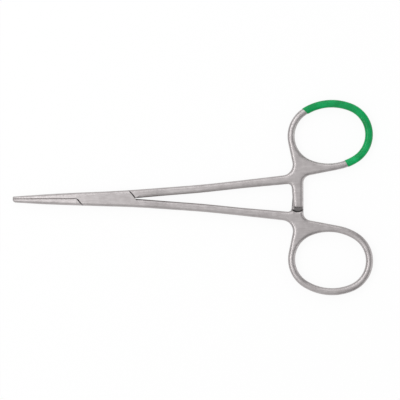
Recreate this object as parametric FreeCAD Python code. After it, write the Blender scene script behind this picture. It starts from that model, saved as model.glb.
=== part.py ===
import FreeCAD, Part

import math
import os
from FreeCAD import Vector

os.makedirs("parts", exist_ok=True)

# Straight box-lock forceps, lying flat and closed, in millimetres.
# +X runs from the jaws to the finger rings, +Y towards the coated ring, +Z up.
# Both arms are drawn the same way round: jaw at -Y, shank and ring at +Y,
# ratchet bar on top. The box arm is then turned over about X.
# Lengths are taken from the pin's axis, heights from the middle of the steel.

# Jaws, each a half round that tapers to a blunt nose
jaw_reach = 32.5
jaw_root_lead = 0.45
jaw_tip_thickness = 1.7
jaw_middle_thickness = 2.6
jaw_roundness = 0.85
nose_length = 1.3
tooth_pitch = 0.64
tooth_depth = 0.24
jaw_clearance = 0.05
jaw_edge_bevel = 0.16

# Widths of the two jaws and of the box sides beside the pin
box_arm_widths = {"tip": 0.80, "middle": 1.52, "root": 2.07, "pin": 2.45}
tenon_arm_widths = {"tip": 1.20, "middle": 1.90, "root": 2.33, "pin": 2.70}
box_rear_width = 3.0

# Box joint
box_length = 20.0
box_thickness = 3.6
box_run_out = 2.7
slit_angle = 51.0
wall_angle = 31.0
crotch_gap = 0.22
slit_bevel = 0.28
tenon_thickness = 1.3
tenon_clearance = 0.04
pin_radius = 1.1
pin_clearance = 0.04

# Shanks: distance of the centre line from the middle, and width
shank_thickness = 3.0
shank_width = 2.76
shank_end_width = 3.1
knee_x = 34.0
knee_y = 3.36
bow_run = 13.0
bow_rise = 1.41
shank_end_run = 13.0
shank_end_rise = 1.31
taper_length = 8.95
bend_radius = 300.0
edge_rounding = 1.0

# Finger rings, slightly squared ovals on a web
ring_from_bar = 11.35
ring_y = 21.6
ring_hole_length = 24.6
ring_hole_width = 19.44
ring_rim = 2.42
ring_tilt = 5.0
ring_end_angle = 63.0
web_lead = 0.85
web_left_radius = 3.8
web_right = 7.4
web_right_radius = 2.7

# Ratchet bars, which pass each other face to face
bar_x = 66.15
bar_width = 4.05
bar_lean = 0.5
bar_reach = 3.2
bar_root_radius = 1.3
recess_radius = 2.8
recess_reach = 5.0
ratchet_teeth = 3
ratchet_pitch = 1.2
ratchet_depth = 0.45
ratchet_clearance = 0.12

# Coat on the outer part of one ring
coat_thickness = 0.12
coat_start_angle = -60.0
coat_end_angle = 136.0

half_box = box_length / 2
jaw_root = half_box + jaw_root_lead
web_left = bar_x - web_lead
ring_x = bar_x + ring_from_bar
half_thickness = box_thickness / 2
front_crotch = Vector(-half_box, -crotch_gap / 2, 0)
rear_crotch = Vector(half_box, crotch_gap / 2, 0)
far = 3 * ring_x


def straight(start, end):
    return Part.LineSegment(start, end).toShape()


def polar(degrees, length):
    turn = math.radians(degrees)
    return Vector(math.cos(turn), math.sin(turn), 0) * length


def crossing(start, end, point, degrees):
    """Where the line through two points meets a line drawn at an angle through a third."""
    run = end - start
    ray = polar(degrees, 1)
    return start + run * ((point - start).cross(ray).z / run.cross(ray).z)


def path(corners):
    """Lines from corner to corner, in which each corner is rounded by its own radius."""
    edges = []
    start = corners[0][0]
    for before, corner, after in zip(corners, corners[1:], corners[2:]):
        point, radius = corner
        end = point
        if radius:
            back = (before[0] - point).normalize()
            ahead = (after[0] - point).normalize()
            half = back.getAngle(ahead) / 2
            inward = (back + ahead).normalize()
            reach = radius / math.tan(half)
            middle = point + inward * (radius / math.sin(half) - radius)
            end = point + back * reach
            edges.append(Part.Arc(end, middle, point + ahead * reach).toShape())
        edges.append(straight(start, end))
        start = point + ahead * reach if radius else point
    edges.append(straight(start, corners[-1][0]))
    return edges


def slab(edges, low, high):
    face = Part.Face(Part.Wire(Part.__sortEdges__(edges)))
    face.translate(Vector(0, 0, low))
    return face.extrude(Vector(0, 0, high - low))


def polygon_slab(points, low, high):
    return slab(Part.makePolygon(points + points[:1]).Edges, low, high)


def ring_arcs(grow):
    """Centre, radius and end angles of a ring's four arcs, grown by the given distance."""
    sweep = math.radians(ring_end_angle)
    difference = (ring_hole_length - ring_hole_width) / 2
    end_offset = difference / (1 + math.tan(sweep) - 1 / math.cos(sweep))
    side_offset = end_offset * math.tan(sweep)
    end_radius = ring_hole_length / 2 - end_offset + grow
    side_radius = ring_hole_width / 2 + side_offset + grow
    arcs = []
    for quarter in (-1, 0, 1, 2):
        turn = ring_tilt + 90 * quarter
        if quarter % 2:
            offset, radius, half = -side_offset, side_radius, 90 - ring_end_angle
        else:
            offset, radius, half = end_offset, end_radius, ring_end_angle
        centre = Vector(ring_x, ring_y, 0) + polar(turn, offset)
        arcs.append([centre, radius, turn - half, turn + half])
    return arcs


def arc_edge(centre, radius, start, end):
    circle = Part.Circle(centre, Vector(0, 0, 1), radius)
    return Part.Arc(circle, math.radians(start), math.radians(end)).toShape()


def oval(grow):
    return [arc_edge(*arc) for arc in ring_arcs(grow)]


def ring_far_end(grow):
    """Point on the arc that lies furthest from the jaws."""
    centre, radius, _, _ = ring_arcs(grow)[1]
    return centre + Vector(radius, 0, 0)


def touch_angle(point, arc, side):
    """Direction from the arc's centre in which a line from the point touches the arc."""
    offset = point - arc[0]
    turn = side * math.acos(arc[1] / offset.Length)
    return math.degrees(math.atan2(offset.y, offset.x) + turn)


def shank_edge(side):
    """Stations along one edge of the shank: side is 1 outside and -1 inside."""
    knee = Vector(knee_x, knee_y, 0)
    bow = knee + Vector(bow_run, bow_rise, 0)
    end = bow + Vector(shank_end_run, shank_end_rise, 0)
    half = Vector(0, side * shank_width / 2, 0)
    return [knee + half, bow + half, end + half * (shank_end_width / shank_width)]


def box_edge(widths, sign):
    """Stations along one side of the box: at the jaw's root, the pin and the rear."""
    return [
        Vector(-jaw_root, sign * widths["root"], 0),
        Vector(0, sign * widths["pin"], 0),
        Vector(half_box, sign * box_rear_width, 0),
    ]


def arm_blank(jaw_widths, shank_widths, angle):
    """An arm from the jaw's root to the ring, cut across the box at the given angle."""
    jaw_start, lower_pin, lower_rear = box_edge(jaw_widths, -1)
    upper_root, upper_pin, upper_rear = box_edge(shank_widths, 1)
    outer_knee, outer_bow, outer_end = shank_edge(1)
    inner_knee, inner_bow, inner_end = shank_edge(-1)
    front_corner = crossing(upper_root, upper_pin, front_crotch, angle)
    rear_corner = crossing(lower_pin, lower_rear, rear_crotch, angle)

    left = bar_x - bar_width / 2
    right = bar_x + bar_width / 2
    bar_end_left = Vector(left + bar_lean, -bar_reach, 0)
    bar_lean_angle = 90 + math.degrees(math.atan2(2 * bar_lean, bar_reach + ring_y / 2))
    bar_root = crossing(inner_bow, inner_end, bar_end_left, bar_lean_angle)
    web_high = crossing(outer_bow, outer_end, Vector(web_left, 0, 0), 90)
    web_low = Vector(right, web_right, 0)

    arcs = ring_arcs(ring_rim)
    low_arc = arcs[0]
    high_arc = arcs[-1]
    low_arc[2] = touch_angle(web_low, low_arc, 1)
    high_arc[3] = touch_angle(web_high, high_arc, -1) % 360
    low_touch = low_arc[0] + polar(low_arc[2], low_arc[1])
    high_touch = high_arc[0] + polar(high_arc[3], high_arc[1])

    edges = path([
        (high_touch, 0),
        (web_high, web_left_radius),
        (outer_bow, bend_radius),
        (outer_knee, bend_radius),
        (upper_rear, bend_radius),
        (upper_pin, bend_radius),
        (front_corner, 0),
        (front_crotch, 0),
        (Vector(-jaw_root, tooth_depth, 0), 0),
        (jaw_start, 0),
        (lower_pin, bend_radius),
        (rear_corner, 0),
        (rear_crotch, 0),
        (inner_knee, bend_radius),
        (inner_bow, bend_radius),
        (bar_root, bar_root_radius),
        (bar_end_left, 0),
        (Vector(right, -bar_reach, 0), 0),
        (web_low, web_right_radius),
        (low_touch, 0),
    ])
    edges.extend(arc_edge(*arc) for arc in arcs)
    return slab(edges, -half_thickness, half_thickness)


def side_profile():
    """Thickness seen from the side: full at the box, tapering to the shanks."""
    low = shank_thickness / 2
    jaw_end = Vector(-jaw_root, 0, half_thickness)
    box_end = Vector(half_box + box_run_out, 0, half_thickness)
    taper_end = Vector(box_end.x + taper_length, 0, low)
    ring_end = Vector(ring_x + ring_hole_length, 0, low)
    fall = half_thickness - low
    sag_radius = (taper_length ** 2 + fall ** 2) / (4 * fall)
    turn = math.atan2(fall, taper_length)
    quarter = Vector(math.sin(turn), 0, math.cos(turn) - 1) * sag_radius
    middle = (box_end + taper_end) / 2
    top = [
        straight(jaw_end, box_end),
        Part.Arc(box_end, box_end + quarter, middle).toShape(),
        Part.Arc(middle, taper_end - quarter, taper_end).toShape(),
        straight(taper_end, ring_end),
    ]
    bottom = [edge.mirror(Vector(), Vector(0, 0, 1)) for edge in top]
    ends = [straight(Vector(end.x, 0, -end.z), end) for end in (jaw_end, ring_end)]
    face = Part.Face(Part.Wire(Part.__sortEdges__(top + bottom + ends)))
    face.translate(Vector(0, -far, 0))
    return face.extrude(Vector(0, 2 * far, 0))


def edge_at(solid, point):
    return min(solid.Edges, key=lambda edge: edge.distToShape(Part.Vertex(point))[0])


def rounded(blank, jaw_widths):
    """Side profile, ring hole and the round on every long edge."""
    solid = blank.cut(slab(oval(0), -half_thickness, half_thickness))
    solid = solid.common(side_profile()).Solids[0]
    edges = []
    for side in (-1, 1):
        low = Vector(0, 0, side * shank_thickness / 2)
        high = Vector(0, 0, side * half_thickness)
        edges.append(edge_at(solid, ring_far_end(ring_rim) + low))
        edges.append(edge_at(solid, ring_far_end(0) + low))
        edges.append(edge_at(solid, shank_edge(-1)[0] + low))
        edges.append(edge_at(solid, Vector(0, -jaw_widths["pin"], 0) + high))
    return solid.makeFillet(edge_rounding, edges)


def jaw_section(x, width, thickness):
    """A half round, flat on the biting side and a little past the middle."""
    high = thickness / 2
    corner = jaw_roundness * min(width, high)
    slack = corner * (1 - math.sqrt(0.5))
    points = [
        Vector(x, tooth_depth, high),
        Vector(x, corner - width, high),
        Vector(x, slack - width, high - slack),
        Vector(x, -width, high - corner),
    ]
    mirrored = [Vector(point.x, point.y, -point.z) for point in points]
    edges = []
    for side in (points, mirrored):
        edges.append(straight(side[0], side[1]))
        edges.append(Part.Arc(side[1], side[2], side[3]).toShape())
    edges.append(straight(points[3], mirrored[3]))
    edges.append(straight(points[0], mirrored[0]))
    return Part.Wire(Part.__sortEdges__(edges))


def with_jaw(arm, widths):
    """The arm with its jaw, drawn out from the arm's front face."""
    front = min(arm.Faces, key=lambda face: face.CenterOfMass.x)
    middle = -(jaw_root + jaw_reach) / 2
    jaw = Part.makeLoft(
        [
            front.OuterWire,
            jaw_section(middle, widths["middle"], jaw_middle_thickness),
            jaw_section(-jaw_reach, widths["tip"], jaw_tip_thickness),
        ],
        True,
        True,
    )
    return arm.fuse(jaw)


def band(angle, grow, height):
    """Corners of a slanting band across the box, through the crotches or wider by grow."""
    reach = polar(-angle, box_length)
    aside = polar(90 - angle, grow)
    lift = Vector(0, 0, height)
    corners = [
        front_crotch - reach - aside + lift,
        front_crotch + reach - aside + lift,
        rear_crotch + reach + aside + lift,
        rear_crotch - reach + aside + lift,
    ]
    return Part.makePolygon(corners + corners[:1])


def strip(angle, low, high, flare=0):
    """Solid band between two heights, whose ends lean out by flare at the high one."""
    return Part.makeLoft([band(angle, 0, low), band(angle, flare, high)], True, True)


def jaw_seam(side):
    """Groove that bevels both jaws along their seam, above or below."""
    middle = (jaw_root + jaw_reach) / 2
    sections = []
    for x, thickness in (
        (half_box, box_thickness),
        (jaw_root, box_thickness),
        (middle, jaw_middle_thickness),
        (jaw_reach, jaw_tip_thickness),
    ):
        high = side * thickness / 2
        wide = 2 * jaw_edge_bevel
        corners = [
            Vector(-x, -jaw_clearance / 2, high - side * jaw_edge_bevel),
            Vector(-x, -jaw_clearance / 2 + wide, high + side * jaw_edge_bevel),
            Vector(-x, -jaw_clearance / 2 - wide, high + side * jaw_edge_bevel),
        ]
        sections.append(Part.makePolygon(corners + corners[:1]))
    return Part.makeLoft(sections, True, True)


def bite(arm, first):
    """Cross teeth on the jaw; first is 1 or -1, so that the two jaws mesh."""
    count = math.ceil(2 * (jaw_reach - jaw_root) / tooth_pitch) + 1
    points = []
    for step in range(count):
        ridge = first if step % 2 else -first
        x = -jaw_root - step * tooth_pitch / 2
        points.append(Vector(x, ridge * tooth_depth / 2 - jaw_clearance / 2, 0))
    above = Vector(0, jaw_root, 0)
    outline = [front_crotch + above, front_crotch] + points + [points[-1] + above]
    return arm.cut(polygon_slab(outline, -box_thickness, box_thickness))


def nose():
    """Blunt nose that both jaws share, widening to the rear as a cone."""
    middle = (box_arm_widths["tip"] - tenon_arm_widths["tip"]) / 2
    radius = (box_arm_widths["tip"] + tenon_arm_widths["tip"]) / 2 + tooth_depth / 4
    ball_radius = (nose_length ** 2 + radius ** 2) / (2 * nose_length)
    tip = Vector(-jaw_reach, 0, 0)
    cheek = Vector(-jaw_reach + ball_radius, 0, 0) + polar(135, ball_radius)
    shoulder = Vector(-jaw_reach + nose_length, radius, 0)
    cone_end = Vector(-jaw_root, radius + jaw_root, 0)
    edges = [
        Part.Arc(tip, cheek, shoulder).toShape(),
        straight(shoulder, cone_end),
        straight(cone_end, Vector(-jaw_root, 0, 0)),
        straight(Vector(-jaw_root, 0, 0), tip),
    ]
    face = Part.Face(Part.Wire(Part.__sortEdges__(edges)))
    dome = face.revolve(Vector(), Vector(1, 0, 0), 360)
    dome.translate(Vector(0, middle, 0))
    return dome


def nose_keep():
    """The nose and all that lies behind the jaws."""
    behind = Part.makeBox(far, far, far, Vector(-jaw_root, -far / 2, -far / 2))
    return nose().fuse(behind)


def ratchet_relief():
    """What is cut from under a bar: the teeth and the hollow for the other bar."""
    tip = ratchet_clearance / 2
    root = tip + ratchet_depth
    bottom = -box_thickness
    hollow_y = recess_reach - recess_radius
    first = -ratchet_teeth * ratchet_pitch / 2 - ratchet_pitch / 2
    points = [Vector(0, -bar_reach - bar_width, bottom), Vector(0, -bar_reach - bar_width, root)]
    for tooth in range(ratchet_teeth):
        start = first + tooth * ratchet_pitch
        points.append(Vector(0, start, root))
        points.append(Vector(0, start + ratchet_pitch, tip))
    points.append(Vector(0, first + ratchet_teeth * ratchet_pitch, root))
    points.append(Vector(0, hollow_y, root))
    points.append(Vector(0, hollow_y, bottom))
    face = Part.Face(Part.makePolygon(points + points[:1]))
    face.translate(Vector(bar_x - bar_width, 0, 0))
    trench = face.extrude(Vector(2 * bar_width, 0, 0))
    hollow = Part.makeCylinder(recess_radius, root - bottom, Vector(bar_x, hollow_y, bottom))
    return trench.fuse(hollow)


def arm(jaw_widths, shank_widths, angle, first):
    """One arm's forging, before the box joint is cut."""
    solid = rounded(arm_blank(jaw_widths, shank_widths, angle), jaw_widths)
    solid = bite(with_jaw(solid, jaw_widths), first)
    for side in (-1, 1):
        solid = solid.cut(jaw_seam(side))
    return solid.common(nose_keep()).cut(ratchet_relief())


def turned_over(solid):
    copy = solid.copy()
    copy.rotate(Vector(), Vector(1, 0, 0), 180)
    return copy


def make_tenon_arm():
    solid = arm(tenon_arm_widths, box_arm_widths, wall_angle, 1)
    half_tenon = tenon_thickness / 2
    for side in (-1, 1):
        solid = solid.cut(strip(slit_angle, side * half_tenon, side * box_thickness))
        edge = side * (half_thickness - slit_bevel)
        solid = solid.cut(strip(slit_angle, edge, edge + side * 2 * slit_bevel, 2 * slit_bevel))
    radius = pin_radius + pin_clearance
    bore = Part.makeCylinder(radius, box_thickness, Vector(0, 0, -half_thickness))
    return solid.cut(bore)


def make_box_arm():
    solid = arm(box_arm_widths, tenon_arm_widths, slit_angle, -1)
    half_slot = tenon_thickness / 2 + tenon_clearance
    solid = solid.cut(strip(wall_angle, -half_slot, half_slot))
    return turned_over(solid.cut(make_joint_pin()))


def make_joint_pin():
    return Part.makeCylinder(pin_radius, box_thickness, Vector(0, 0, -half_thickness))


def make_ring_coating(carrier):
    """Thin coat round the outer part of the ring, cut square at both ends."""
    high = shank_thickness / 2 + coat_thickness
    outside = slab(oval(ring_rim + coat_thickness), -high, high)
    inside = slab(oval(-coat_thickness), -high, high)
    ring = outside.cut(inside)
    edges = [edge for edge in ring.Edges if abs(abs(edge.CenterOfMass.z) - high) < coat_thickness / 2]
    ring = ring.makeFillet(edge_rounding + coat_thickness, edges)
    centre = Vector(ring_x, ring_y, 0)
    corners = [centre]
    steps = 4
    for step in range(steps + 1):
        turn = coat_start_angle + (coat_end_angle - coat_start_angle) * step / steps
        corners.append(centre + polar(turn, ring_hole_length))
    return ring.common(polygon_slab(corners, -box_thickness, box_thickness)).cut(carrier)


def main():
    tenon_arm = make_tenon_arm()
    pieces = {
        "box_arm": make_box_arm(),
        "tenon_arm": tenon_arm,
        "joint_pin": make_joint_pin(),
        "ring_coating": make_ring_coating(tenon_arm),
    }
    ring_end = ring_far_end(ring_rim + coat_thickness).x
    shift = Vector(-(ring_end - jaw_reach) / 2, 0, half_thickness)
    for name, shape in pieces.items():
        shape = shape.copy()
        shape.translate(shift)
        shape.Solids[0].exportStep("parts/" + name + ".step")
        print(name, len(shape.Solids), shape.isValid(), round(shape.Volume, 1))
    print("pin axis at x", round(shift.x, 4))


main()
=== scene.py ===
import math

import bpy
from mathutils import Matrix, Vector


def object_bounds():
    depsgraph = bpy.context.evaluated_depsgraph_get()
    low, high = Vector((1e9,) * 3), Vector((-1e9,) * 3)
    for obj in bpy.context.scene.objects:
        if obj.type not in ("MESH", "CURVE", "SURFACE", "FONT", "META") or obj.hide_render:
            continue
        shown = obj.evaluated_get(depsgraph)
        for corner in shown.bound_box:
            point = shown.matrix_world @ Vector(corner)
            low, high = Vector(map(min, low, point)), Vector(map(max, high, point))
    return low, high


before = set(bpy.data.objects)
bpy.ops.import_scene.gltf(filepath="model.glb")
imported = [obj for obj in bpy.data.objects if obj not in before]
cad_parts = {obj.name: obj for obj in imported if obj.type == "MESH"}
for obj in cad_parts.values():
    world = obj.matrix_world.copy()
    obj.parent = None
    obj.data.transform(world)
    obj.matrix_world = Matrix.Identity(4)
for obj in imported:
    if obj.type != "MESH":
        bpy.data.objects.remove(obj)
cad_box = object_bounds()

# Box-lock artery forceps lying closed on a white table, seen from straight above.
# Metres, in the part's frame: +X to the finger rings, +Y to the coated ring, +Z up.

MM = 0.001
LENGTH = cad_box[1].x - cad_box[0].x

# Camera: width of table in view, what it looks at, and its turn about the line of sight
VIEW_WIDTH = 1.112 * LENGTH
VIEW_CENTRE = Vector((2.46, -0.62, 0.0)) * MM
VIEW_ROLL = math.radians(-0.22)
LENS = 250.0
SENSOR = 36.0
CLIP_NEAR = 0.01
CLIP_FAR = 10.0

# Places along the forceps, from its middle
SHANK_MIDDLE = -0.02 * LENGTH
SHANK_END = 0.16 * LENGTH
RATCHET = 0.264 * LENGTH

# A list of tones or gloss gives (place in the pattern, sRGB hex or grey value).

# Steel: its grit marks are about 0.05 mm wide, too fine to show in the render, so they
# are drawn as wide as still shows. A stretch below 1 draws them out along the blade, and
# the tenon arm's marks are turned by a few degrees.
SCRATCH_WIDTH = 0.38 * MM
SCRATCH_STRETCH = (0.10, 1, 0.5)
SCRATCH_DEPTH = 0.006 * MM
SCRATCH_RELIEF = 0.03
POLISH_WIDTH = 1.1 * MM
POLISH_STRETCH = (0.06, 1, 0.4)
BLOOM_WIDTH = 2.4 * MM
STEEL_TONES = [(0.32, "#A7A1A1"), (0.50, "#B5B0B0"), (0.68, "#C2BDBD")]
STEEL_GLOSS = [(0.30, 0.36), (0.70, 0.42)]
TENON_ARM_TURN = 0.08

# Steel: how far a wall shades the face beside it, how dark that shade is painted into the
# steel's colour, and how far the edges are rounded
SLIT_SHELTER = 1.0 * MM
RATCHET_SHELTER = 3.6 * MM
PAINTED_SHELTER_SHADE = [(0.20, 0.08), (0.45, 0.38), (0.65, 1.0)]
SHELTER_SAMPLES = 8
BOX_EDGE = 0.10 * MM
RING_EDGE = 1.2 * MM
EDGE_SAMPLES = 16

# Coat
COAT_WAVE_WIDTH = 3.8 * MM
COAT_WAVE_DEPTH = 0.03 * MM
COAT_WAVE_RELIEF = 0.25
COAT_PEEL_WIDTH = 0.7 * MM
COAT_TONES = [(0.30, "#088747"), (0.52, "#0A9A54"), (0.72, "#11AC62")]
COAT_GLOSS = [(0.30, 0.14), (0.70, 0.20)]
COAT_SHINE = 0.20

# Table
TABLE_SIZE = 2.0
TABLE_DROP = 0.02 * MM
TABLE_GLOW = 0.92
PAPER_FIBRE = 0.7 * MM
PAPER_TONES = [(0.3, "#F8F8F8"), (0.7, "#FCFCFC")]
PAPER_ROUGHNESS = 0.9

# Room: brightness from the horizon up, and from beyond the rings round to beyond the jaws
JAW_SIDE = (-1.0, 0.08, 0.0)
CEILING = [(0.70, 0.84), (0.95, 0.92)]
WALLS = [(0.0, 1.8), (0.09, 1.3), (0.17, 0.35), (0.32, 0.35), (0.44, 1.0), (0.80, 1.0), (0.95, 0.60)]

# Lamps: name, place, width and height, watts, and the point it faces
WINDOWS = (
    ("left_window", (-0.27, 0.05, 0.48), (0.60, 0.18), 0.80, (0.0, 0.0, 0.0)),
    ("back_window", (0.02, 0.42, 0.36), (0.60, 0.26), 0.40, (0.0, 0.0, 0.0)),
    ("jaw_window", (-0.14, 0.03, 0.34), (0.20, 0.20), 0.05, (-0.14, 0.0, 0.0)),
)


def linear(code):
    """A colour written as sRGB hex, as the shader wants it."""
    channels = [int(code[i:i + 2], 16) / 255 for i in (1, 3, 5)]
    return [c / 12.92 if c <= 0.04045 else ((c + 0.055) / 1.055) ** 2.4 for c in channels] + [1.0]


def new_material(name):
    material = bpy.data.materials.new(name)
    material.use_nodes = True
    return material, material.node_tree, material.node_tree.nodes["Principled BSDF"]


def add(tree, kind, settings=(), **links):
    """One node: settings are its attributes and input values, links go to its inputs."""
    node = tree.nodes.new(kind)
    for key, value in dict(settings).items():
        if isinstance(key, str) and hasattr(node, key):
            setattr(node, key, value)
        else:
            node.inputs[key].default_value = value
    for key, source in links.items():
        name = int(key[1:]) if key[1:].isdigit() else key.replace("_", " ")
        tree.links.new(source, node.inputs[name])
    return node


def ramp(tree, source, stops):
    """Colour ramp from a list of (place, sRGB hex or grey value)."""
    node = add(tree, "ShaderNodeValToRGB", Fac=source)
    elements = node.color_ramp.elements
    while len(elements) < len(stops):
        elements.new(0.5)
    for element, (place, shade) in zip(elements, stops):
        element.position = place
        element.color = linear(shade) if isinstance(shade, str) else (shade, shade, shade, 1)
    return node.outputs["Color"]


def grain(tree, place, width, detail, stretch=(1, 1, 1), turn=0.0):
    """Noise with patches of the given width; a stretch below 1 draws them out that way."""
    mapping = add(tree, "ShaderNodeMapping", {"Scale": stretch, "Rotation": (0, 0, turn)}, Vector=place)
    noise = add(tree, "ShaderNodeTexNoise", {"Scale": 1 / width, "Detail": detail, "Roughness": 0.6},
                Vector=mapping.outputs[0])
    return noise.outputs["Fac"]


def finish(material, tree, shader, colour, roughness, normal):
    tree.links.new(colour, shader.inputs["Base Color"])
    tree.links.new(roughness, shader.inputs["Roughness"])
    tree.links.new(normal.outputs["Normal"], shader.inputs["Normal"])
    return material


def satin_steel(name, turn=0.0):
    """Stainless steel, ground along the blade and matted.

    To the eye: a warm pale grey with a soft bloom, a silky line of light along each
    rounded edge, and painted shade, near black, in the slits of the box joint and under the ratchet bar.
    """
    material, tree, shader = new_material(name)
    shader.inputs["Metallic"].default_value = 1.0
    place = add(tree, "ShaderNodeTexCoord").outputs["Object"]
    along = add(tree, "ShaderNodeSeparateXYZ", Vector=place).outputs["X"]

    scratches = grain(tree, place, SCRATCH_WIDTH, 5, SCRATCH_STRETCH, turn)
    polish = grain(tree, place, POLISH_WIDTH, 3, POLISH_STRETCH, turn)
    bloom = grain(tree, place, BLOOM_WIDTH, 4)
    tone = add(tree, "ShaderNodeMix", {"data_type": "FLOAT", "Factor": 0.5}, i2=scratches, i3=bloom)
    bare = ramp(tree, tone.outputs[0], STEEL_TONES)

    # Little light gets into the slits and, near the rings, under the ratchet bar: that shade is painted
    # # into the steel's colour, darker wherever occlusion finds a wall close by.
    reach = add(tree, "ShaderNodeMapRange",
                {1: SHANK_END, 2: RATCHET, 3: SLIT_SHELTER, 4: RATCHET_SHELTER}, i0=along)
    painted_shade_occlusion = add(tree, "ShaderNodeAmbientOcclusion", {"samples": SHELTER_SAMPLES},
                   Distance=reach.outputs[0])
    shade = ramp(tree, painted_shade_occlusion.outputs["AO"], PAINTED_SHELTER_SHADE)
    # Painted shade: the occlusion ramp is multiplied into the bare steel colour.
    colour = add(tree, "ShaderNodeMix", {"data_type": "RGBA", "blend_type": "MULTIPLY", "Factor": 1.0},
                 i6=bare, i7=shade)

    # Box and front shanks keep crisp edges, and the rings are crowned by polishing.
    crown = add(tree, "ShaderNodeMapRange",
                {1: SHANK_MIDDLE, 2: SHANK_END, 3: BOX_EDGE, 4: RING_EDGE}, i0=along)
    edge = add(tree, "ShaderNodeBevel", {"samples": EDGE_SAMPLES}, Radius=crown.outputs[0])
    bump = add(tree, "ShaderNodeBump", {"Strength": SCRATCH_RELIEF, "Distance": SCRATCH_DEPTH},
               Height=scratches, Normal=edge.outputs[0])
    return finish(material, tree, shader, colour.outputs[2], ramp(tree, polish, STEEL_GLOSS), bump)


def green_plastic_coat():
    """Soft plastic, dipped on.

    To the eye: a deep even green with a soft shine, and a faint waviness where the film ran.
    """
    material, tree, shader = new_material("dipped_green_plastic")
    shader.inputs["Specular IOR Level"].default_value = COAT_SHINE
    place = add(tree, "ShaderNodeTexCoord").outputs["Object"]
    wave = grain(tree, place, COAT_WAVE_WIDTH, 3)
    peel = grain(tree, place, COAT_PEEL_WIDTH, 2)
    bump = add(tree, "ShaderNodeBump", {"Strength": COAT_WAVE_RELIEF, "Distance": COAT_WAVE_DEPTH},
               Height=wave)
    return finish(material, tree, shader, ramp(tree, wave, COAT_TONES), ramp(tree, peel, COAT_GLOSS), bump)


def white_paper():
    """Smooth white paper.

    To the eye: white, also where the steel mirrors it, with a faint soft shadow.
    """
    material, tree, shader = new_material("white_paper")
    shader.inputs["Roughness"].default_value = PAPER_ROUGHNESS
    shader.inputs["Specular IOR Level"].default_value = 0.0
    fibre = grain(tree, add(tree, "ShaderNodeTexCoord").outputs["Object"], PAPER_FIBRE, 2)
    tree.links.new(ramp(tree, fibre, PAPER_TONES), shader.inputs["Base Color"])
    ray = add(tree, "ShaderNodeLightPath").outputs
    seen = ray["Is Camera Ray"]
    for other in ("Is Glossy Ray", "Is Transmission Ray"):
        seen = add(tree, "ShaderNodeMath", {"operation": "MAXIMUM"}, i0=seen, i1=ray[other]).outputs[0]
    glow = add(tree, "ShaderNodeMath", {"operation": "MULTIPLY", 1: TABLE_GLOW}, i0=seen)
    white = add(tree, "ShaderNodeEmission", {"Strength": 1.0})
    both = add(tree, "ShaderNodeMixShader", Fac=glow.outputs[0], i1=shader.outputs[0], i2=white.outputs[0])
    tree.links.new(both.outputs[0], tree.nodes["Material Output"].inputs["Surface"])
    return material


def cover(node, material):
    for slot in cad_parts[node].material_slots:
        slot.material = material


def add_table():
    bpy.ops.mesh.primitive_plane_add(size=TABLE_SIZE, location=(0, 0, 0))
    table = bpy.context.object
    table.name = "table"
    for vertex in table.data.vertices:
        vertex.co.z -= TABLE_DROP
    table.data.materials.append(white_paper())


def add_room():
    """Pale room, whitest overhead, with a bright door between two dark walls beyond the rings."""
    world = bpy.data.worlds.new("room")
    world.use_nodes = True
    bpy.context.scene.world = world
    tree = world.node_tree
    direction = add(tree, "ShaderNodeTexCoord").outputs["Generated"]
    height = add(tree, "ShaderNodeSeparateXYZ", Vector=direction).outputs["Z"]
    side = add(tree, "ShaderNodeVectorMath", {"operation": "DOT_PRODUCT", 1: JAW_SIDE}, i0=direction)
    across = add(tree, "ShaderNodeMath", {"operation": "MULTIPLY_ADD", 1: 0.5, 2: 0.5},
                 i0=side.outputs["Value"])
    background = tree.nodes["Background"]
    tree.links.new(ramp(tree, height, CEILING), background.inputs["Color"])
    tree.links.new(ramp(tree, across.outputs[0], WALLS), background.inputs["Strength"])


def add_window(name, place, size, watts, target):
    light = bpy.data.lights.new(name, "AREA")
    light.shape = "RECTANGLE"
    light.size, light.size_y = size
    light.energy = watts
    window = bpy.data.objects.new(name, light)
    window.location = place
    window.rotation_euler = (Vector(target) - Vector(place)).to_track_quat("-Z", "Y").to_euler()
    bpy.context.scene.collection.objects.link(window)


def add_camera():
    camera = bpy.data.cameras.new("camera")
    camera.lens = LENS
    camera.sensor_width = SENSOR
    camera.clip_start = CLIP_NEAR
    camera.clip_end = CLIP_FAR
    viewer = bpy.data.objects.new("camera", camera)
    viewer.location = VIEW_CENTRE + Vector((0, 0, VIEW_WIDTH * LENS / SENSOR))
    viewer.rotation_euler = (0, 0, VIEW_ROLL)
    bpy.context.scene.collection.objects.link(viewer)
    bpy.context.scene.camera = viewer


# The two arms were ground in slightly different directions.
cover("box_arm", satin_steel("satin_ground_steel_box_arm"))
cover("tenon_arm", satin_steel("satin_ground_steel_tenon_arm", TENON_ARM_TURN))
cover("joint_pin", satin_steel("satin_ground_steel_pin"))
cover("ring_coating", green_plastic_coat())

add_table()
add_room()
for window in WINDOWS:
    add_window(*window)
add_camera()

bpy.context.scene.view_settings.view_transform = "Standard"
